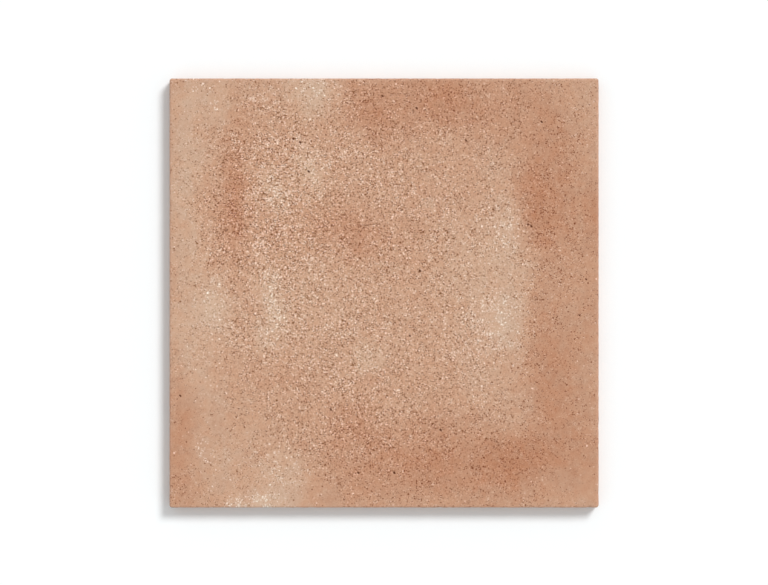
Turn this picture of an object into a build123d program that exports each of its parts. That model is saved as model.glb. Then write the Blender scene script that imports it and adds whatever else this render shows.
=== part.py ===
"""Square dry-pressed floor tile, lying on its back with the walking face up.

The tile is one fired piece. Its face is flat with a soft arris all round. The edge drops
straight down as the grout land, then leans in towards the back, where the press die needed
draft. The back is keyed: a waffle of narrow ribs stands round shallow square pockets, which
the adhesive fills when the tile is bedded.

Origin: centre of the back, at the level of the rib crests that the tile rests on.
Axes: +X and +Y along the sides, +Z up through the walking face.
"""

import os

from build123d import *

# overall size
tile_side = 200.0  # from grout land to grout land
tile_thickness = 9.0  # from rib crests to walking face

# outline and edge
corner_radius = 1.2  # the four upright corners, in plan
face_arris_radius = 0.8  # soft edge round the walking face
foot_lean_width = 1.0  # how far the foot of the edge leans in
foot_lean_height = 2.2  # how high that lean reaches

# keyed back
border_width = 3.5  # plain land between the foot and the outer pockets
pockets_per_row = 10
rib_width = 2.4  # crest between two pockets
pocket_depth = 0.8
pocket_corner_cut = 1.3  # blunt corners, cut along each side
pocket_wall_draft = 35.0  # degrees that a pocket's walls lean from upright

# sizes worked out from the above
foot_side = tile_side - 2 * foot_lean_width
keyed_field = foot_side - 2 * border_width
pocket_side = (keyed_field - (pockets_per_row - 1) * rib_width) / pockets_per_row
pocket_pitch = pocket_side + rib_width

with BuildPart() as floor_tile:
    # foot of the edge, leaning out from the back
    with BuildSketch(Plane.XY):
        RectangleRounded(foot_side, foot_side, corner_radius)
    with BuildSketch(Plane.XY.offset(foot_lean_height)):
        RectangleRounded(tile_side, tile_side, corner_radius)
    loft(ruled=True)

    # upright grout land, up to the walking face
    with BuildSketch(Plane.XY.offset(foot_lean_height)):
        RectangleRounded(tile_side, tile_side, corner_radius)
    extrude(amount=tile_thickness - foot_lean_height)

    # soft arris round the walking face
    walking_face = floor_tile.faces().sort_by(Axis.Z)[-1]
    fillet(walking_face.edges(), radius=face_arris_radius)

    # keying pockets, narrower at the floor than at the mouth
    with BuildSketch(Plane.XY) as pocket_mouths:
        with GridLocations(pocket_pitch, pocket_pitch, pockets_per_row, pockets_per_row):
            Rectangle(pocket_side, pocket_side)
        chamfer(pocket_mouths.vertices(), length=pocket_corner_cut)
    extrude(amount=pocket_depth, taper=pocket_wall_draft, mode=Mode.SUBTRACT)

floor_tile.part.label = "floor_tile"

os.makedirs("parts", exist_ok=True)
export_step(floor_tile.part, "parts/floor_tile.step")
print(f"pocket {pocket_side:.2f} mm square at {pocket_pitch:.2f} mm pitch")
print(f"volume {floor_tile.part.volume / 1000:.1f} cm3, faces {len(floor_tile.faces())}")
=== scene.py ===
# %% [markdown]
# # A terracotta-look floor tile
# This lesson dresses one dry-pressed floor tile. The tile lies on its back, and the camera looks
# straight down on the walking face. The construction is already settled, so here the tile gets the
# things that pressing, glazing and firing leave on it: a worn and chipped arris, an uneven face with
# a few pits, pores and sand, scorched and milky patches, and kiln wash on the ribs of its back.

# %% Load the frame
import math

import bmesh
import bpy
import numpy as np
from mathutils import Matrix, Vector, noise


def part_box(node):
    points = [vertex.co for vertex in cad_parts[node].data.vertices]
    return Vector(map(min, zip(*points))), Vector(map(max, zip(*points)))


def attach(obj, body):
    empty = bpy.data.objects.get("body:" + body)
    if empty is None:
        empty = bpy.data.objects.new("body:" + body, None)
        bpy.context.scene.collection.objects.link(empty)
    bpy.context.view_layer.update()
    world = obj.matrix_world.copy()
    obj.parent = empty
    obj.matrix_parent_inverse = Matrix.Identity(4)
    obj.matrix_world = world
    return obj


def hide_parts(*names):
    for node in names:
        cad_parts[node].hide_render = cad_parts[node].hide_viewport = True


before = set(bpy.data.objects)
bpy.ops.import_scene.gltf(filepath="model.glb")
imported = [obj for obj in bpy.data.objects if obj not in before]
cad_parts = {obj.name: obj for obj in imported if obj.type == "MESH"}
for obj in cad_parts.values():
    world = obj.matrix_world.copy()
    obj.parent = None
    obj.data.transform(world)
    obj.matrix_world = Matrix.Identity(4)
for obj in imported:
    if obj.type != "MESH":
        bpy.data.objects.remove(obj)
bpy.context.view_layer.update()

# %% [markdown]
# ## Sizes
# The tile's side and thickness are read from the construction, so the dressed tile always fits it.
# The edge and the keyed back repeat the construction's own sizes. They are written in metres, as
# everything in this scene is, with one name for the millimetre, and one for a hair's breadth that
# tells two heights apart.

# %% Sizes
MM = 0.001
hair = 0.01 * MM
tile_low, tile_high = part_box("floor_tile")
tile_side = tile_high.x - tile_low.x
tile_top = tile_high.z
half_side = tile_side / 2

corner_radius = 1.2 * MM
arris_radius = 0.8 * MM
foot_lean_width = 1.0 * MM
foot_lean_height = 2.2 * MM
border_width = 3.5 * MM
pockets_per_row = 10
rib_width = 2.4 * MM
pocket_depth = 0.8 * MM
pocket_corner_radius = 1.6 * MM
pocket_wall_draft = math.radians(35)

foot_side = tile_side - 2 * foot_lean_width
keyed_field = foot_side - 2 * border_width
pocket_side = (keyed_field - (pockets_per_row - 1) * rib_width) / pockets_per_row
pocket_pitch = pocket_side + rib_width
print(f"tile {tile_side / MM:.1f} mm square and {tile_top / MM:.1f} mm thick")

# %% [markdown]
# ## Working in edit mode
# Each operator acts on all that is selected, and the construction comes in selected. So small
# helpers come first: one opens a mesh for editing with nothing selected, and two select faces or
# edges by where they are and which way they look, as a maker picks them by eye.

# %% Helpers for edit mode
def open_for_editing(piece, kind="FACE"):
    """Edit one object, with nothing selected in it."""
    bpy.ops.object.select_all(action="DESELECT")
    bpy.context.view_layer.objects.active = piece
    piece.select_set(True)
    bpy.ops.object.mode_set(mode="EDIT")
    bpy.ops.mesh.select_mode(type=kind)
    bpy.ops.mesh.select_all(action="DESELECT")


def close_editing():
    """Go back to object mode, which also writes the edits into the mesh."""
    bpy.ops.object.mode_set(mode="OBJECT")


def pick_faces(piece, wanted):
    """Select the faces for which wanted(middle, normal, area) is true, and count them."""
    bpy.ops.mesh.select_mode(type="FACE")
    bpy.ops.mesh.select_all(action="DESELECT")
    cage = bmesh.from_edit_mesh(piece.data)
    picked = [face for face in cage.faces
              if wanted(face.calc_center_median(), face.normal, face.calc_area())]
    for face in picked:
        face.select_set(True)
    cage.select_flush_mode()
    bmesh.update_edit_mesh(piece.data)
    return len(picked)


def pick_edges(piece, wanted):
    """Select the edges for which wanted(edge) is true, and count them."""
    bpy.ops.mesh.select_mode(type="EDGE")
    bpy.ops.mesh.select_all(action="DESELECT")
    cage = bmesh.from_edit_mesh(piece.data)
    picked = [edge for edge in cage.edges if wanted(edge)]
    for edge in picked:
        edge.select_set(True)
    cage.select_flush_mode()
    bmesh.update_edit_mesh(piece.data)
    return len(picked)


# %% [markdown]
# ## The blank
# The real tile starts as powder in a square die with barely rounded corners. Here it starts as a
# plane at the height where the leaning foot ends. A vertex bevel rounds the four corners, and the
# four long sides are divided, because every later ring of the edge takes its points from them.

# %% The outline of the die
corner_steps = 4
coarse_cells = 62
fine_cells = 4
side_cells = coarse_cells * fine_cells

bpy.ops.object.select_all(action="DESELECT")
bpy.ops.mesh.primitive_plane_add(size=tile_side, location=(0, 0, foot_lean_height))
tile = bpy.context.active_object
tile.name = "pressed_tile"
bpy.ops.object.transform_apply(location=True, rotation=True, scale=True)

open_for_editing(tile, "VERT")
bpy.ops.mesh.select_all(action="SELECT")
bpy.ops.mesh.bevel(offset=corner_radius, affect="VERTICES", segments=corner_steps)
long_sides = pick_edges(tile, lambda edge: edge.calc_length() > half_side)
bpy.ops.mesh.subdivide(number_cuts=coarse_cells - 1)
bpy.ops.mesh.subdivide(number_cuts=fine_cells - 1)
close_editing()
print(f"{long_sides} long sides, outline of {len(tile.data.vertices)} points")

# %% [markdown]
# ## Grout land and arris
# The land is the upright part of the edge that faces the grout. It is extruded in three rows, so
# that it has points for chips later. The arris is the soft rounding towards the face. It could be a
# bevel, but insets give control of every step: each goes in and up by its share of a quarter circle.

# %% The land and the arris
land_rows = 3
arris_steps = 4
land_top = tile_top - arris_radius

open_for_editing(tile)
pick_faces(tile, lambda middle, normal, area: True)
row_height = (land_top - foot_lean_height) / land_rows
for row in range(land_rows):
    bpy.ops.mesh.extrude_region_move(TRANSFORM_OT_translate={"value": (0, 0, row_height)})
    pick_faces(tile, lambda middle, normal, area: normal.z > 0.9 and area > half_side**2)

turn = math.radians(90) / arris_steps
for step in range(arris_steps):
    go_in = arris_radius * (math.cos(step * turn) - math.cos((step + 1) * turn))
    go_up = arris_radius * (math.sin((step + 1) * turn) - math.sin(step * turn))
    bpy.ops.mesh.inset(thickness=go_in, depth=go_up, use_even_offset=True)
close_editing()
print(f"land of {row_height * land_rows / MM:.1f} mm, arris in {arris_steps} steps")

# %% [markdown]
# ## The walking face
# The face needs points all over, because the press, the glaze and the kiln leave it a little
# uneven. A grid fill turns the flat cap into rows and columns that end exactly on the rounded
# outline. It starts at the middle of one corner, so the grid's own corners sit on the tile's.

# %% Fill the face with a grid
face_cells = side_cells + corner_steps

open_for_editing(tile)
pick_faces(tile, lambda middle, normal, area: middle.z > tile_top - hair)
bpy.ops.mesh.delete(type="ONLY_FACE")
rim_edges = pick_edges(tile, lambda edge: edge.is_boundary)
cage = bmesh.from_edit_mesh(tile.data)
rim = {vert for edge in cage.edges if edge.select for vert in edge.verts}
corner = max(rim, key=lambda vert: min(vert.co.x, vert.co.y))
cage.select_history.clear()
cage.select_history.add(corner)
bmesh.update_edit_mesh(tile.data)
bpy.ops.mesh.fill_grid(span=face_cells, offset=0)
face_count = pick_faces(tile, lambda middle, normal, area: middle.z > tile_top - hair)
close_editing()
print(f"rim of {rim_edges} edges, {face_count} faces in the walking face")

# %% [markdown]
# ## The leaning foot
# Below the land the die leaned inwards, so that the pressed tile let go of it. The open underside
# is extruded down and made narrower, and a last small inset breaks the edge that the tile slides on.

# %% The foot
foot_break = 0.25 * MM

open_for_editing(tile)
pick_faces(tile, lambda middle, normal, area: normal.z < -0.9)
foot_drop = foot_lean_height - foot_break
foot_share = 1 - 2 * foot_lean_width * (foot_drop / foot_lean_height) / tile_side
bpy.ops.mesh.extrude_region_move(TRANSFORM_OT_translate={"value": (0, 0, -foot_drop)})
bpy.ops.transform.resize(value=(foot_share, foot_share, 1), center_override=(0, 0, 0))
bpy.ops.mesh.inset(thickness=foot_break, depth=foot_break, use_even_offset=True)
bpy.ops.mesh.delete(type="ONLY_FACE")
close_editing()
foot_points = [vert.co for vert in tile.data.vertices if vert.co.z < foot_break / 2]
print(f"foot {2 * max(point.x for point in foot_points) / MM:.2f} mm wide at the bed")

# %% [markdown]
# ## The keyed back
# The back of the real tile is a waffle that the adhesive grips. The ribs could be modelled one by
# one, but it is simpler to think of them as what is left between the pockets. A coarse grid gets one
# face for each pocket, an individual inset leaves half a rib on every side, a vertex bevel rounds
# the corners as the worn press rubber does, and a deeper inset sinks the pocket with its draft.

# %% The waffle sheet
pocket_corner_steps = 3
mouth_softening = 0.14 * MM
floor_softening = 0.22 * MM
wall_run = pocket_depth * math.tan(pocket_wall_draft)


def is_pocket(middle, normal, area):
    """A whole pocket, because every face of the ribs is far smaller."""
    return area > 0.6 * pocket_side**2


bpy.ops.object.select_all(action="DESELECT")
bpy.ops.mesh.primitive_grid_add(
    x_subdivisions=pockets_per_row, y_subdivisions=pockets_per_row,
    size=pockets_per_row * pocket_pitch, location=(0, 0, 0))
waffle = bpy.context.active_object
waffle.name = "keyed_back"

open_for_editing(waffle)
bpy.ops.mesh.select_all(action="SELECT")
bpy.ops.mesh.flip_normals()
bpy.ops.mesh.inset(thickness=rib_width / 2, use_individual=True)
bpy.ops.mesh.bevel(offset=pocket_corner_radius, affect="VERTICES", segments=pocket_corner_steps)
pockets = pick_faces(waffle, is_pocket)
bpy.ops.mesh.inset(thickness=wall_run, depth=-pocket_depth, use_individual=True)
close_editing()
print(f"{pockets} pockets of {pocket_side / MM:.2f} mm at a pitch of {pocket_pitch / MM:.2f} mm")

# %% [markdown]
# Pressed powder never keeps a sharp edge. The mouths and the floors of the pockets get a narrow
# bevel each, chosen by how high their edges lie and how the faces beside them tilt.

# %% Soften the pockets
sharp_turn = 0.5


def is_sharp(edge):
    """Whether the two faces beside an edge turn away from each other by sharp_turn, in radians."""
    return edge.calc_face_angle(0) > sharp_turn


open_for_editing(waffle, "EDGE")
mouths = pick_edges(waffle, lambda edge: is_sharp(edge)
                    and max(vert.co.z for vert in edge.verts) < pocket_depth / 2)
bpy.ops.mesh.bevel(offset=mouth_softening, affect="EDGES", segments=2)
floors = pick_edges(waffle, lambda edge: is_sharp(edge)
                    and min(vert.co.z for vert in edge.verts) > pocket_depth * 0.8)
bpy.ops.mesh.bevel(offset=floor_softening, affect="EDGES", segments=1)
close_editing()
print(f"softened {mouths} mouth edges and {floors} floor edges")

# %% [markdown]
# ## One fired piece
# The waffle sheet and the tile's edge were separate only for modelling. They are joined, and a
# bridge closes the plain border between the foot and the outer ribs. A closed mesh has exactly two
# faces at every edge, so the number of other edges has to be zero.

# %% Join the back to the tile
bpy.ops.object.select_all(action="DESELECT")
waffle.select_set(True)
tile.select_set(True)
bpy.context.view_layer.objects.active = tile
bpy.ops.object.join()

open_for_editing(tile, "EDGE")
open_edges = pick_edges(tile, lambda edge: edge.is_boundary)
bpy.ops.mesh.bridge_edge_loops()
bpy.ops.mesh.select_all(action="SELECT")
bpy.ops.mesh.remove_doubles(threshold=0.001 * MM)
bpy.ops.mesh.normals_make_consistent(inside=False)
leaks = pick_edges(tile, lambda edge: not edge.is_manifold)
close_editing()
print(f"bridged {open_edges} open edges, {leaks} edges left open")

# %% [markdown]
# ## What the press and the kiln leave
# A pressed face is never a mirror: it dips by a few hundredths of a millimetre, and the glaze over it
# is pitted like orange peel. Sculpting could do it, but cloud textures in Displace modifiers cover
# the whole face evenly. Each one only pushes inwards, so the tile never outgrows its die, and vertex
# groups keep the keyed back out of it.

# %% Which points may move
def name_points(piece, title, wanted):
    """Put the points for which wanted(place) is true in a vertex group, and count them."""
    group = piece.vertex_groups.new(name=title)
    chosen = [vert.index for vert in piece.data.vertices if wanted(vert.co)]
    group.add(chosen, 1.0, "REPLACE")
    return len(chosen)


def reach_of(place):
    """How far out a point lies, on whichever axis it lies further out."""
    return max(abs(place.x), abs(place.y))


face_points = name_points(tile, "face", lambda place: place.z > land_top + hair)
edge_points = name_points(tile, "edge", lambda place: place.z > foot_lean_height / 2
                          and reach_of(place) > half_side - arris_radius)
print(f"{face_points} points may sink with the face, {edge_points} with the edge")

# %% Dips, orange peel and a worn edge
def cloud(title, feature_size, darkest=0.0, palest=1.0):
    """A cloud texture whose ramp starts to rise at darkest and is full at palest."""
    texture = bpy.data.textures.new(title, type="CLOUDS")
    texture.noise_scale = feature_size
    texture.noise_depth = 2
    texture.use_color_ramp = True
    texture.color_ramp.elements[0].position = darkest
    texture.color_ramp.elements[0].color = (0, 0, 0, 1)
    texture.color_ramp.elements[1].position = palest
    return texture


def press_in(piece, texture, depth, direction, group):
    """Push the points of a group in by up to depth, and make that the mesh."""
    relief = piece.modifiers.new(texture.name, "DISPLACE")
    relief.texture = texture
    relief.texture_coords = "LOCAL"
    relief.direction = direction
    relief.mid_level = 0
    relief.strength = -depth
    relief.vertex_group = group
    bpy.ops.object.modifier_apply(modifier=relief.name)
    return texture.name


bpy.ops.object.select_all(action="DESELECT")
tile.select_set(True)
bpy.context.view_layer.objects.active = tile
made = [
    press_in(tile, cloud("slow_dips", 34 * MM, 0.2, 0.8), 0.10 * MM, "Z", "face"),
    press_in(tile, cloud("orange_peel", 3.2 * MM, 0.3, 0.8), 0.035 * MM, "Z", "face"),
    press_in(tile, cloud("open_pits", 1.5 * MM, 0.56, 0.7), 0.06 * MM, "Z", "face"),
    press_in(tile, cloud("worn_edge", 2.6 * MM, 0.35, 0.75), 0.09 * MM, "NORMAL", "edge"),
]
print("relief pressed in:", ", ".join(made))

# %% [markdown]
# ## Chips
# Tiles knock against each other in the stack, so small chips sit on the arris, most of them on the
# right side and near the lower corners. Each is one point pulled inwards and down, which drags its
# neighbours along: proportional editing with a sharp falloff, as by hand.

# %% Chip the arris
# side, distance along it, how deep and how wide, in millimetres
chips = [
    ("right", -47, 0.30, 1.6), ("right", -54, 0.22, 1.2), ("right", -62, 0.34, 2.0),
    ("right", -71, 0.26, 1.5), ("right", -93, 0.60, 1.5), ("right", 21, 0.20, 1.2),
    ("left", 41, 0.45, 1.4), ("left", -53, 0.38, 1.2), ("left", -61, 0.28, 1.3),
    ("top", -74, 0.26, 1.4), ("top", 12, 0.20, 1.2), ("top", 63, 0.24, 1.5),
    ("bottom", -55, 0.30, 1.8), ("bottom", 26, 0.22, 1.3), ("bottom", 96, 0.40, 1.8),
]
outward = {"right": Vector((1, 0, 0)), "left": Vector((-1, 0, 0)),
           "top": Vector((0, 1, 0)), "bottom": Vector((0, -1, 0))}
arris_height = tile_top - arris_radius * (1 - math.sin(math.radians(45)))
chip_fall = Vector((0, 0, -0.6))

open_for_editing(tile, "VERT")
cage = bmesh.from_edit_mesh(tile.data)
arris_points = [vert for vert in cage.verts if reach_of(vert.co) > half_side - arris_radius
                and vert.co.z > land_top]
for side, along, deep, wide in chips:
    out = outward[side]
    across = Vector((abs(out.y), abs(out.x), 0))
    aim = out * half_side + across * along * MM + Vector((0, 0, arris_height))
    bpy.ops.mesh.select_all(action="DESELECT")
    min(arris_points, key=lambda vert: (vert.co - aim).length).select_set(True)
    bpy.ops.transform.translate(
        value=(-out + chip_fall) * deep * MM, use_proportional_edit=True,
        proportional_edit_falloff="SHARP", proportional_size=wide * MM)
close_editing()
print(f"{len(chips)} chips, the deepest {max(chip[2] for chip in chips)} mm")

# %% [markdown]
# ## Open pits
# Here and there a lump burned out of the clay and left a pit a millimetre wide. They stand out on the
# plain face, so they are placed one by one, and dug as the chips are. The glaze material later paints
# whatever lies deeper than the ordinary relief dark, as painted shade in the pits, so the pits get
# their colour from their depth.

# %% Dig the pits
# x, y and how deep, in millimetres
pits = [
    (15, 86, 0.55), (17, 10, 0.42), (12, -20, 0.36), (-12, -84, 0.42), (94, 6, 0.42),
    (91, -10, 0.38), (69, 31, 0.44), (67, 32, 0.34), (-35, 57, 0.46), (-42, 72, 0.36),
    (-39, 70, 0.42), (-95, -48, 0.36), (-1, 92, 0.34), (5, -84, 0.36), (-62, 32, 0.34),
    (38, 71, 0.34), (73, 80, 0.36), (-25, -54, 0.38), (57, 48, 0.32), (26, -64, 0.34),
]
pit_reach = 1.15 * MM

open_for_editing(tile, "VERT")
cage = bmesh.from_edit_mesh(tile.data)
face_top = [vert for vert in cage.verts if vert.co.z > land_top + arris_radius / 2]
for x, y, deep in pits:
    aim = Vector((x * MM, y * MM, 0))
    bpy.ops.mesh.select_all(action="DESELECT")
    min(face_top, key=lambda vert: (vert.co - aim).to_2d().length).select_set(True)
    bpy.ops.transform.translate(
        value=(0, 0, -deep * MM), use_proportional_edit=True,
        proportional_edit_falloff="SHARP", proportional_size=pit_reach)
close_editing()
print(f"{len(pits)} pits")

# %% [markdown]
# The steps of the arris and the corners are there to be rounded, while the walls of the pockets are
# real creases. Smooth shading by angle tells them apart: shallow edges blend, steep ones stay.

# %% Smooth the rounded parts
crease_angle = math.radians(32)
bpy.ops.object.shade_smooth_by_angle(angle=crease_angle)
tile.data.calc_loop_triangles()
print(f"{len(tile.data.loop_triangles)} triangles in the tile")

# %% [markdown]
# ## Painting where the fire was
# Each tile leaves the kiln mottled: scorched where flame and flashing caught it, milky where the
# glaze lies thick, gritty where it lies thin, and dusted with pale sand in places. Noise alone could
# give such patches, but never at these places. So they are painted as a sprayer would, in soft oval
# dabs, and kept as attributes on the mesh's points, which the material reads. Turbulence in three
# sizes bends the dabs so that none of them looks round. Blender starts that noise from the clock, so
# it gets a seed, and the dabs bend the same way each time.

# %% Soft dabs
places = np.empty(len(tile.data.vertices) * 3)
tile.data.vertices.foreach_get("co", places)
places = places.reshape(-1, 3)


def swirled(points, size, amount):
    """Shift each point by turbulence with features of that size."""
    drift = [noise.noise_vector(Vector(point) / size) for point in points]
    return points + np.array(drift) * amount


def lay_dabs(points, dabs):
    """Add up soft dabs: x, y, reach along x, reach along y in millimetres, and strength."""
    amount = np.zeros(len(points))
    for x, y, reach_x, reach_y, strength in dabs:
        away = np.hypot((points[:, 0] / MM - x) / reach_x, (points[:, 1] / MM - y) / reach_y)
        near = np.clip(1 - away, 0, 1)
        amount += strength * near * near * (3 - 2 * near)
    return amount


def keep_paint(piece, title, amount):
    """Store one number for each point of the mesh under a name that materials can read."""
    layer = piece.data.attributes.new(name=title, type="FLOAT", domain="POINT")
    layer.data.foreach_set("value", amount.astype(np.float32))
    return f"{title} from {amount.min():.2f} to {amount.max():.2f}"


swirl_seed = 1
noise.seed_set(swirl_seed)
brushed = places
for size, amount in ((30, 6), (10, 4), (4, 2)):
    brushed = swirled(brushed, size * MM, amount * MM)
print(f"{len(brushed)} points ready for paint")

# %% [markdown]
# Each dab is x, y, its reach along x and along y in millimetres, and its strength. Dabs add up, and
# one with a negative strength wipes some of the paint away, as a damp sponge does.

# %% Scorch, milk, grit and sand
scorch_dabs = [
    (16, 90, 54, 30, 0.50), (-8, 88, 18, 18, 0.35), (28, 93, 20, 14, 0.34), (60, 88, 42, 26, 0.40),
    (79, 46, 26, 62, 0.74), (80, -42, 21, 64, 0.68), (71, 38, 8, 46, 0.22), (71, -14, 8, 34, 0.20),
    (100, 34, 10, 30, 0.52), (97, -20, 14, 110, 0.34), (20, -81, 78, 33, 0.76), (61, -80, 26, 24, 0.60),
    (-60, 84, 14, 22, 0.16), (-70, 40, 13, 44, 0.70), (-69, 82, 8, 24, 0.20), (-12, 27, 28, 22, 0.50),
    (-94, -54, 18, 30, 0.50), (-97, -86, 14, 32, 0.44), (-14, -60, 20, 18, 0.36), (90, -76, 30, 34, 0.36),
    (-42, 28, 34, 16, 0.14), (26, -58, 26, 16, 0.18), (-62, -36, 24, 16, 0.16), (14, 38, 18, 18, 0.16),
]
milk_dabs = [
    (-79, -4, 12, 20, 0.75), (-55, -8, 12, 24, 0.62), (-34, 56, 13, 18, 0.80), (-51, 48, 9, 11, 0.55),
    (46, 6, 32, 62, 0.38), (58, -13, 13, 24, 0.62), (48, -42, 16, 20, 0.16), (57, 28, 10, 34, 0.40),
    (53, 58, 16, 14, 0.10), (-32, -4, 62, 42, 0.25), (-8, -28, 14, 10, 0.56), (-34, 93, 18, 18, 0.84),
    (-84, 88, 18, 16, 0.45), (-93, 58, 11, 62, 0.50), (-90, 8, 13, 44, 0.40), (-84, -32, 15, 42, 0.40),
    (-47, -86, 17, 22, 0.65), (-56, -99, 26, 9, 0.90), (-72, -80, 22, 28, 0.30), (22, 41, 6, 6, 0.40),
    (-96, -18, 11, 24, 0.30),
]
grit_dabs = [
    (-8, 6, 125, 130, 0.55), (-52, 42, 44, 66, 0.66), (-12, 74, 34, 34, 0.25), (-10, -62, 50, 36, 0.22),
    (40, 84, 52, 26, 0.16), (-98, -10, 21, 125, -0.18), (-80, -58, 26, 46, -0.24), (94, -90, 28, 28, -0.22),
    (-28, -97, 30, 18, -0.28), (16, 8, 40, 60, -0.12), (50, -10, 22, 34, -0.20), (-86, 90, 30, 28, -0.14),
    (84, -30, 34, 90, -0.12), (98, 20, 16, 100, -0.12), (64, 78, 26, 18, -0.10), (-58, -18, 34, 26, 0.14),
]
sand_dabs = [
    (-52, 42, 18, 46, 0.95), (-54, -3, 14, 28, 0.90), (-38, 66, 22, 14, 0.60), (-10, 62, 26, 18, 0.40),
    (-78, 10, 13, 70, 0.38), (26, 40, 15, 11, 0.85), (56, 34, 18, 20, 0.95), (48, -17, 24, 26, 1.35),
    (-84, -75, 8, 7, 1.00), (-60, -98, 26, 8, 1.50), (-56, 91, 12, 8, 1.10), (-36, 94, 18, 8, 0.60),
    (-30, -50, 50, 40, 0.10), (10, 10, 70, 70, 0.08), (-48, -80, 12, 12, 0.50), (-87, 96, 7, 4, 0.80),
    (-81, 86, 3, 7, 0.80), (-92, 92, 3, 5, 0.70),
]
bare_grit = 0.32
bare_sand = 0.03
for title, dabs, bare in (("scorch", scorch_dabs, 0), ("milk", milk_dabs, 0),
                          ("grit", grit_dabs, bare_grit), ("sand", sand_dabs, bare_sand)):
    print(keep_paint(tile, title, lay_dabs(brushed, dabs) + bare))

# %% [markdown]
# ## Building materials from nodes
# The materials are long chains of small steps, so helpers keep them readable: they add a node, link
# or set a socket, do sums, blend colours, make a soft rise and make clouds. Colours are given as a
# screen shows them, from 0 to 255, because that is how they are judged by eye.

# %% Helpers for nodes
def add_node(tree, kind, **options):
    """Add a shader node of that kind, with its options set."""
    node = tree.nodes.new("ShaderNode" + kind)
    for option, choice in options.items():
        setattr(node, option, choice)
    return node


def feed(tree, socket, source):
    """Link a socket from another one, or give it a plain value."""
    if isinstance(source, bpy.types.NodeSocket):
        tree.links.new(source, socket)
    else:
        socket.default_value = source


def sums(tree, operation, *terms, hold=False):
    """One sum with sockets or numbers, held between 0 and 1 where asked."""
    node = add_node(tree, "Math", operation=operation, use_clamp=hold)
    for socket, term in zip(node.inputs, terms):
        feed(tree, socket, term)
    return node.outputs[0]


def seen(red, green, blue):
    """A colour as a screen shows it, turned into the linear one that shaders take."""
    shares = [part / 255 for part in (red, green, blue)]
    return (*[part / 12.92 if part <= 0.04045 else ((part + 0.055) / 1.055) ** 2.4
              for part in shares], 1)


def blend_colours(tree, share, below, above, way="MIX"):
    """The colour below, covered by the colour above in that share, or tinted by it."""
    node = add_node(tree, "Mix", data_type="RGBA", blend_type=way)
    feed(tree, node.inputs[0], share)
    feed(tree, node.inputs[6], below)
    feed(tree, node.inputs[7], above)
    return node.outputs[2]


def rising(tree, source, start, full):
    """0 up to start and 1 from full on, with a soft rise between them."""
    node = add_node(tree, "MapRange", interpolation_type="SMOOTHSTEP")
    for name, term in (("Value", source), ("From Min", start), ("From Max", full)):
        feed(tree, node.inputs[name], term)
    return node.outputs["Result"]


def clouds(tree, place, feature, detail=2.0, roughness=0.5):
    """Noise with features of that size in metres, around 0.5."""
    node = add_node(tree, "TexNoise")
    feed(tree, node.inputs["Vector"], place)
    node.inputs["Scale"].default_value = 1 / feature
    node.inputs["Detail"].default_value = detail
    node.inputs["Roughness"].default_value = roughness
    return node.outputs["Fac"]


def stretched(tree, place, stretch):
    """The place with an axis squeezed, so that a pattern on it grows longer along that axis."""
    node = add_node(tree, "Mapping")
    feed(tree, node.inputs["Vector"], place)
    node.inputs["Scale"].default_value = stretch
    return node.outputs["Vector"]


print("burnt clay as a shader takes it", [round(part, 3) for part in seen(183, 128, 97)])

# %% [markdown]
# ## Grains and pores
# Sand and pores are loose spots of uneven size. Voronoi cells give each spot its own patch of the
# surface: a random number decides whether the cell has a spot, another how large it is. Both the
# glazed face and the bare body have them, so this is a node group with named values.

# %% A group for loose spots
def make_spots_group():
    group = bpy.data.node_groups.new("loose spots", "ShaderNodeTree")
    face = group.interface
    face.new_socket("Place", in_out="INPUT", socket_type="NodeSocketVector")
    for name, value in (("Cells per metre", 650.0), ("Share", 0.3), ("Size", 0.3)):
        face.new_socket(name, in_out="INPUT", socket_type="NodeSocketFloat").default_value = value
    face.new_socket("Spots", in_out="OUTPUT", socket_type="NodeSocketFloat")
    given = group.nodes.new("NodeGroupInput").outputs
    result = group.nodes.new("NodeGroupOutput").inputs

    cells = add_node(group, "TexVoronoi", feature="F1")
    feed(group, cells.inputs["Vector"], given["Place"])
    feed(group, cells.inputs["Scale"], given["Cells per metre"])
    dice = add_node(group, "SeparateColor")
    feed(group, dice.inputs[0], cells.outputs["Color"])
    present = sums(group, "LESS_THAN", dice.outputs[0], given["Share"])

    # a spot has half to one and a half times the given size, with a soft outer part
    growth = sums(group, "MULTIPLY_ADD", dice.outputs[1], 1.0, 0.5)
    edge = sums(group, "MULTIPLY", given["Size"], growth)
    core = sums(group, "MULTIPLY", edge, 0.6)
    inside = rising(group, cells.outputs["Distance"], edge, core)

    # and some are fainter than others
    depth = sums(group, "MULTIPLY_ADD", dice.outputs[2], 0.4, 0.6)
    spots = sums(group, "MULTIPLY", sums(group, "MULTIPLY", inside, present), depth)
    feed(group, result["Spots"], spots)
    return group


spots_group = make_spots_group()


def place_group(tree, group, **terms):
    """Place a group in a tree, with a socket or a number for each of its inputs."""
    node = add_node(tree, "Group", node_tree=group)
    for name, term in terms.items():
        feed(tree, node.inputs[name.replace("_", " ").capitalize()], term)
    return node.outputs


print("group made:", spots_group.name, [item.name for item in spots_group.interface.items_tree])

# %% [markdown]
# The grain itself is a second group. Seen close, the surface is a mosaic of sand grains of less than
# half a millimetre, each with its own shade. Small Voronoi cells with a random number each give that
# mosaic, and a high power of the number leaves most grains near the middle tone and a few far from
# it. Small pores with a few deep ones, and fine sand with a few bright grains, lie over it. The group
# gives how much each point is darkened and paled, and how high it stands, and each material decides
# what colour that is.

# %% A group for the grain
grain_size = 0.42 * MM
grain_power = 5.0
grain_swing = 2.2
darkening = 1.25
paling = 0.7


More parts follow.
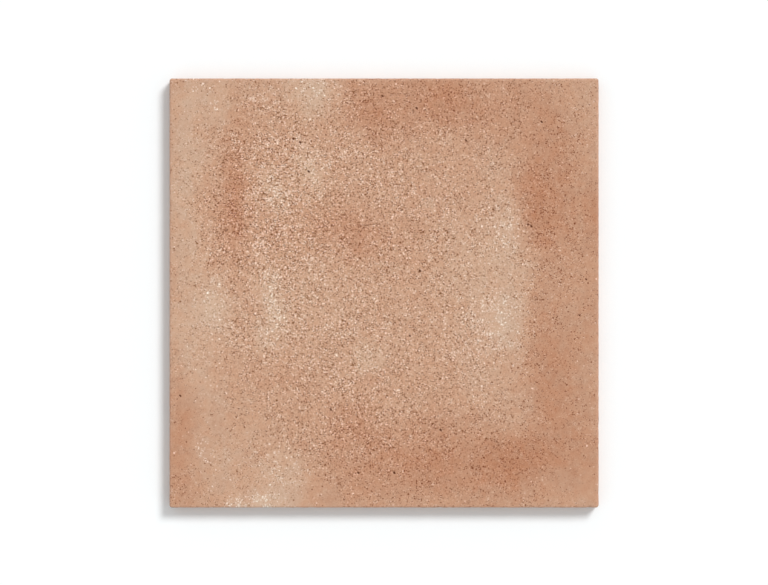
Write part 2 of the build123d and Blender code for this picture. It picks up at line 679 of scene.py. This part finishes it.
def make_grain_group():
    group = bpy.data.node_groups.new("fired grain", "ShaderNodeTree")
    face = group.interface
    face.new_socket("Place", in_out="INPUT", socket_type="NodeSocketVector")
    for name in ("Amount", "Pores", "Sand"):
        face.new_socket(name, in_out="INPUT", socket_type="NodeSocketFloat").default_value = 0.4
    for name in ("Dark", "Pale", "Height"):
        face.new_socket(name, in_out="OUTPUT", socket_type="NodeSocketFloat")
    given = group.nodes.new("NodeGroupInput").outputs
    result = group.nodes.new("NodeGroupOutput").inputs

    mosaic = add_node(group, "TexVoronoi", feature="F1")
    feed(group, mosaic.inputs["Vector"], given["Place"])
    mosaic.inputs["Scale"].default_value = 1 / grain_size
    shade = add_node(group, "SeparateColor")
    feed(group, shade.inputs[0], mosaic.outputs["Color"])
    throw = sums(group, "MULTIPLY_ADD", shade.outputs[0], 2.0, -1.0)
    swing = sums(group, "MULTIPLY", sums(group, "POWER", throw, grain_power), grain_swing)
    swing = sums(group, "MULTIPLY", swing, given["Amount"])

    # a mirrored place gives other cells, so that the layers don't line up
    turned = stretched(group, given["Place"], (1, 1, -1))
    pores = place_group(group, spots_group, place=given["Place"], cells_per_metre=1400.0,
                        share=given["Pores"], size=0.46)["Spots"]
    deep_pores = place_group(group, spots_group, place=turned, cells_per_metre=800.0,
                             share=sums(group, "MULTIPLY", given["Pores"], 0.34), size=0.33)["Spots"]
    sand = place_group(group, spots_group, place=turned, cells_per_metre=1300.0,
                       share=given["Sand"], size=0.46)["Spots"]
    bright_sand = place_group(group, spots_group, place=given["Place"], cells_per_metre=900.0,
                              share=sums(group, "MULTIPLY", given["Sand"], 0.55), size=0.38)["Spots"]
    sand = sums(group, "MAXIMUM", sums(group, "MULTIPLY", sand, 0.7), bright_sand)
    pores = sums(group, "MAXIMUM", pores, deep_pores)
    dark = sums(group, "MULTIPLY_ADD", swing, -darkening, pores, hold=True)
    pale = sums(group, "MULTIPLY_ADD", swing, paling, sand, hold=True)
    feed(group, result["Dark"], dark)
    feed(group, result["Pale"], pale)
    feed(group, result["Height"], sums(group, "SUBTRACT", pale, dark))
    return group


grain_group = make_grain_group()
print("group made:", grain_group.name, [item.name for item in grain_group.interface.items_tree])

# %% [markdown]
# ## The glazed face
# Under the matt glaze the colour runs from scorched to milky clay along one line of tones. Painted
# attributes say where, and clouds a little stretched along the tile break them up. Smoke cools the
# colour in drifts. Over that lies the grain: the mosaic, dark open pores and pale sand, each in the
# clay's own hue, much darker or much paler. At the rim the glaze draws thin, and its paler band is also
# a painted highlight that lifts the arris's shade. On the land the glaze ends in a wavering line,
# below which the bare body shows.

# %% The glaze
glaze_roughness = 0.62
body_roughness = 0.85
glaze_line_low = 8.4 * MM
glaze_line_high = 8.6 * MM
pit_starts = 0.19 * MM
pit_full = 0.27 * MM
smoke_tint = (0.94, 1.0, 1.06, 1)
clay_tones = [seen(184.5, 126, 91.5), seen(201.5, 155.5, 125), seen(210.5, 176, 149)]
pore_tones = [seen(110, 42, 0), seen(112, 58, 0), seen(134, 86, 36)]
# painted shade for the pits, the colour of whatever lies deeper than the ordinary relief
painted_pit_shade = seen(88, 38, 0)
sand_tones = [seen(232, 180, 152), seen(255, 248, 234)]
# thin, pinker glaze on the arris, which also serves as a painted highlight that lifts its shade
arris_clay_and_highlight = seen(214, 170, 150)
body_clay = seen(193, 146, 116)


def start_material(title, roughness):
    """A material with one Principled shader, and the object's own coordinates."""
    material = bpy.data.materials.new(title)
    material.use_nodes = True
    tree = material.node_tree
    shader = tree.nodes["Principled BSDF"]
    shader.inputs["Roughness"].default_value = roughness
    shader.inputs["Specular IOR Level"].default_value = 0.3
    place = add_node(tree, "TexCoord").outputs["Object"]
    return material, tree, shader, place


def painted(tree, title):
    """One of the numbers painted on the mesh's points."""
    return add_node(tree, "Attribute", attribute_name=title).outputs["Fac"]


def along_tones(tree, tone, *colours):
    """The colours at even steps of a ramp, from the first at 0 to the last at 1."""
    ramp = add_node(tree, "ValToRGB")
    stops = ramp.color_ramp.elements
    stops[0].color = colours[0]
    stops[1].color = colours[-1]
    for number, colour in enumerate(colours[1:-1], 1):
        stops.new(number / (len(colours) - 1)).color = colour
    feed(tree, ramp.inputs[0], tone)
    return ramp.outputs[0]


def lay_relief(tree, shader, height, rise):
    """Let pores sink and sand stand proud by up to rise, in metres, as a bump."""
    relief = add_node(tree, "Bump")
    relief.inputs["Strength"].default_value = 0.5
    relief.inputs["Distance"].default_value = rise
    feed(tree, relief.inputs["Height"], height)
    feed(tree, shader.inputs["Normal"], relief.outputs[0])


def make_glaze():
    material, tree, shader, place = start_material("matt glaze", glaze_roughness)
    scorch, milk, grit = (painted(tree, title) for title in ("scorch", "milk", "grit"))
    axes = add_node(tree, "SeparateXYZ")
    feed(tree, axes.inputs[0], place)
    reach_x, reach_y = (sums(tree, "ABSOLUTE", axes.outputs[axis]) for axis in "XY")
    reach = sums(tree, "MAXIMUM", reach_x, reach_y)

    # one line of tones, from scorched at 0 to milky at 1
    wide = clouds(tree, stretched(tree, place, (1, 0.55, 1)), 14 * MM, detail=2, roughness=0.5)
    close = clouds(tree, stretched(tree, place, (1, 0.7, 1)), 3 * MM, detail=3, roughness=0.6)
    tone = sums(tree, "MULTIPLY_ADD", sums(tree, "SUBTRACT", milk, scorch), 0.49, 0.5)
    tone = sums(tree, "ADD", tone, sums(tree, "MULTIPLY_ADD", wide, 0.2, -0.1))
    tone = sums(tree, "ADD", tone, sums(tree, "MULTIPLY_ADD", close, 0.56, -0.28))
    clay = along_tones(tree, tone, *clay_tones)

    # smoke cools the colour in drifts, mostly near the rim, where there is little grit
    smoke = rising(tree, clouds(tree, place, 9 * MM, detail=2, roughness=0.5), 0.40, 0.60)
    smoke = sums(tree, "MULTIPLY_ADD", smoke, 0.6, 0.4)
    smoke = sums(tree, "MULTIPLY", smoke, sums(tree, "SUBTRACT", 1.15, grit, hold=True))
    clay = blend_colours(tree, smoke, clay, smoke_tint, way="MULTIPLY")

    # on the arris the glaze draws thin and pinker, and the paler band is also a painted highlight
    # that lifts the arris's shade; the glaze ends in a wavering line on the land
    arris = sums(tree, "MULTIPLY", rising(tree, reach, half_side - 1.5 * MM, half_side - 0.5 * MM), 0.2)
    clay = blend_colours(tree, arris, clay, arris_clay_and_highlight)
    waver = clouds(tree, stretched(tree, place, (1, 1, 0.2)), 5 * MM, detail=3)
    level = sums(tree, "MULTIPLY_ADD", waver, 1.6 * MM, axes.outputs["Z"])
    glazed = rising(tree, level, glaze_line_low, glaze_line_high)
    clay = blend_colours(tree, glazed, body_clay, clay)
    smoother = glaze_roughness - body_roughness
    feed(tree, shader.inputs["Roughness"], sums(tree, "MULTIPLY_ADD", glazed, smoother, body_roughness))

    # the grain comes in patches, with more pores where it is scorched, and the sand in drifts
    patches = rising(tree, clouds(tree, place, 6 * MM, detail=3, roughness=0.65), 0.40, 0.60)
    gritty = sums(tree, "MULTIPLY", grit, sums(tree, "MULTIPLY_ADD", patches, 0.6, 0.55))
    drifts = rising(tree, clouds(tree, place, 3 * MM, detail=3, roughness=0.6), 0.42, 0.60)
    sand = sums(tree, "MULTIPLY", drifts, painted(tree, "sand"))
    pores = sums(tree, "MULTIPLY_ADD", scorch, 0.3, sums(tree, "MULTIPLY_ADD", milk, -0.28, 0.29))
    pores = sums(tree, "MULTIPLY", gritty, pores, hold=True)
    amount = sums(tree, "MULTIPLY", gritty, sums(tree, "MULTIPLY_ADD", milk, -0.45, 1.07))
    grain = place_group(tree, grain_group, place=place, amount=amount, pores=pores, sand=sand)
    colour = blend_colours(tree, grain["Dark"], clay, along_tones(tree, tone, *pore_tones))
    colour = blend_colours(tree, grain["Pale"], colour, along_tones(tree, tone, *sand_tones))

    # whatever lies deeper than the ordinary relief is a burned-out pit and gets painted shade,
    # but not the arris
    pit = rising(tree, axes.outputs["Z"], tile_top - pit_starts, tile_top - pit_full)
    pit = sums(tree, "MULTIPLY", pit, sums(tree, "LESS_THAN", reach, half_side - corner_radius))
    colour = blend_colours(tree, pit, colour, painted_pit_shade)
    feed(tree, shader.inputs["Base Color"], colour)
    lay_relief(tree, shader, grain["Height"], 0.04 * MM)
    return material


glaze = make_glaze()
print(f"{glaze.name}: {len(glaze.node_tree.nodes)} nodes")

# %% [markdown]
# ## The bare body
# The foot and the back are fired clay without glaze, mottled by the fire and with only a little of
# the grain. The ribs carry kiln wash, a thin white coat that keeps the tile from sticking to the
# rollers. It is placed by height and broken up by clouds, as it is rubbed through in places.

# %% The body
wash_starts = 0.45 * MM
wash_full = 0.1 * MM
body_shade = seen(180, 132, 102)
body_pore = seen(130, 86, 58)
body_sand = seen(232, 192, 164)
kiln_wash = seen(219, 205, 188)


def make_body():
    material, tree, shader, place = start_material("bare fired body", body_roughness)
    axes = add_node(tree, "SeparateXYZ")
    feed(tree, axes.inputs[0], place)
    low = rising(tree, axes.outputs["Z"], wash_starts, wash_full)
    rubbed = rising(tree, clouds(tree, place, 9 * MM, detail=4, roughness=0.6), 0.36, 0.56)
    wash = sums(tree, "MULTIPLY", low, rubbed)
    grain = place_group(tree, grain_group, place=place, amount=0.24, pores=0.06, sand=0.03)
    mottle = rising(tree, clouds(tree, place, 7 * MM, detail=4, roughness=0.7), 0.42, 0.66)
    colour = blend_colours(tree, mottle, body_clay, body_shade)
    colour = blend_colours(tree, wash, colour, kiln_wash)
    colour = blend_colours(tree, grain["Dark"], colour, body_pore)
    colour = blend_colours(tree, grain["Pale"], colour, body_sand)
    feed(tree, shader.inputs["Base Color"], colour)
    lay_relief(tree, shader, grain["Height"], 0.05 * MM)
    return material


body = make_body()
print(f"{body.name}: {len(body.node_tree.nodes)} nodes")

# %% [markdown]
# The glaze covers the face, the arris and the top row of the land, and its own wavering line ends it
# there. All the faces whose middle lies lower are bare, and are picked by height.

# %% Put the finishes on
glazed_rows_start = 6 * MM
for finish in (glaze, body):
    tile.data.materials.append(finish)
open_for_editing(tile)
bare_faces = pick_faces(tile, lambda middle, normal, area: middle.z < glazed_rows_start)
tile.active_material_index = 1
bpy.ops.object.material_slot_assign()
close_editing()
print(f"{bare_faces} faces stay bare")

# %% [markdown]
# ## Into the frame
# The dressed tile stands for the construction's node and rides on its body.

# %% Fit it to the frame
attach(tile, "root")
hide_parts("floor_tile")

# %% [markdown]
# ## The floor
# The floor is a plain pale plane that keeps the tile's shadow. The camera sees it as white, a trace
# cooler than neutral because the tile throws warm light on it, and with a very small lift so that it
# melts into the white backdrop. Other rays find it darker, so that it doesn't flood the tile's edges.

# %% The floor
floor_gap = 0.1 * MM
floor_side = 6
floor_for_light = (0.8, 0.8, 0.8, 1)
floor_for_camera = (0.96, 0.99, 1, 1)
floor_lift = 0.03

bpy.ops.object.select_all(action="DESELECT")
bpy.ops.mesh.primitive_plane_add(size=floor_side, location=(0, 0, -floor_gap))
floor = bpy.context.active_object
floor.name = "studio_floor"


def looked_at(tree):
    """1 for what the camera sees, straight or by way of a gloss or glass."""
    path = add_node(tree, "LightPath")
    straight = sums(tree, "MAXIMUM", path.outputs["Is Camera Ray"], path.outputs["Is Glossy Ray"])
    return sums(tree, "MAXIMUM", straight, path.outputs["Is Transmission Ray"])


paper = bpy.data.materials.new("pale paper")
paper.use_nodes = True
paper_tree = paper.node_tree
paper_tree.nodes.remove(paper_tree.nodes["Principled BSDF"])
seen_by_camera = looked_at(paper_tree)
matt = add_node(paper_tree, "BsdfDiffuse")
shade = blend_colours(paper_tree, seen_by_camera, floor_for_light, floor_for_camera)
feed(paper_tree, matt.inputs["Color"], shade)
lift = add_node(paper_tree, "Emission")
feed(paper_tree, lift.inputs["Strength"], sums(paper_tree, "MULTIPLY", seen_by_camera, floor_lift))
both = add_node(paper_tree, "AddShader")
feed(paper_tree, both.inputs[0], matt.outputs[0])
feed(paper_tree, both.inputs[1], lift.outputs[0])
feed(paper_tree, paper_tree.nodes["Material Output"].inputs["Surface"], both.outputs[0])
floor.data.materials.append(paper)
print("floor", floor.name)

# %% [markdown]
# ## Light
# One broad lamp stands high at the upper right, and an even sky fills the rest. Their shares add up
# to about full strength on a level surface, so each colour renders about as it is written. A sun
# lamp with a wide angle gives the shadow its soft outer edge, and its direction sets how far the
# shadow reaches to the left and below.

# %% Sky and lamp
sky_share = 0.56
lamp_bearing = Vector((4.9, 5.9, 9.0))
lamp_height = lamp_bearing.normalized().z
lamp_spread = math.radians(20)
overall = 1.02

world = bpy.data.worlds.new("studio")
bpy.context.scene.world = world
world.use_nodes = True
sky = world.node_tree
backdrop = sky.nodes["Background"]
backdrop.inputs["Color"].default_value = (1, 1, 1, 1)
sky_seen = sums(sky, "MULTIPLY_ADD", looked_at(sky), 1 - sky_share * overall, sky_share * overall)
feed(sky, backdrop.inputs["Strength"], sky_seen)

lamp_data = bpy.data.lights.new("broad_lamp", "SUN")
lamp_data.angle = lamp_spread
lamp_data.energy = (1 - sky_share) * overall * math.pi / lamp_height
lamp = bpy.data.objects.new("broad_lamp", lamp_data)
lamp.rotation_mode = "QUATERNION"
lamp.rotation_quaternion = lamp_bearing.to_track_quat("Z", "Y")
bpy.context.scene.collection.objects.link(lamp)
print(f"lamp {math.degrees(math.asin(lamp_height)):.0f} degrees above the floor")

# %% [markdown]
# ## Camera
# The photograph looks straight down and shows no side of the tile, as from far away. So the lens is
# long, and the distance follows from how many pixels wide the tile is.

# %% The camera
photo_width = 768
tile_width_in_photo = 429.35
photo_middle = Vector((0.08, 0.5))
lens = 200.0
sensor = 36.0

metres_per_pixel = tile_side / tile_width_in_photo
seen_width = photo_width * metres_per_pixel
camera_data = bpy.data.cameras.new("camera")
camera_data.lens = lens
camera_data.sensor_width = sensor
camera = bpy.data.objects.new("camera", camera_data)
camera.location = (-photo_middle.x * metres_per_pixel, photo_middle.y * metres_per_pixel,
                   tile_top + seen_width * lens / sensor)
bpy.context.scene.collection.objects.link(camera)
bpy.context.scene.camera = camera
print(f"camera {camera.location.z:.3f} m above the floor, sees {seen_width:.3f} m across")

# %% [markdown]
# ## Finish
# The Standard view shows colours as they are written.

# %% Set the view
bpy.context.scene.view_settings.view_transform = "Standard"
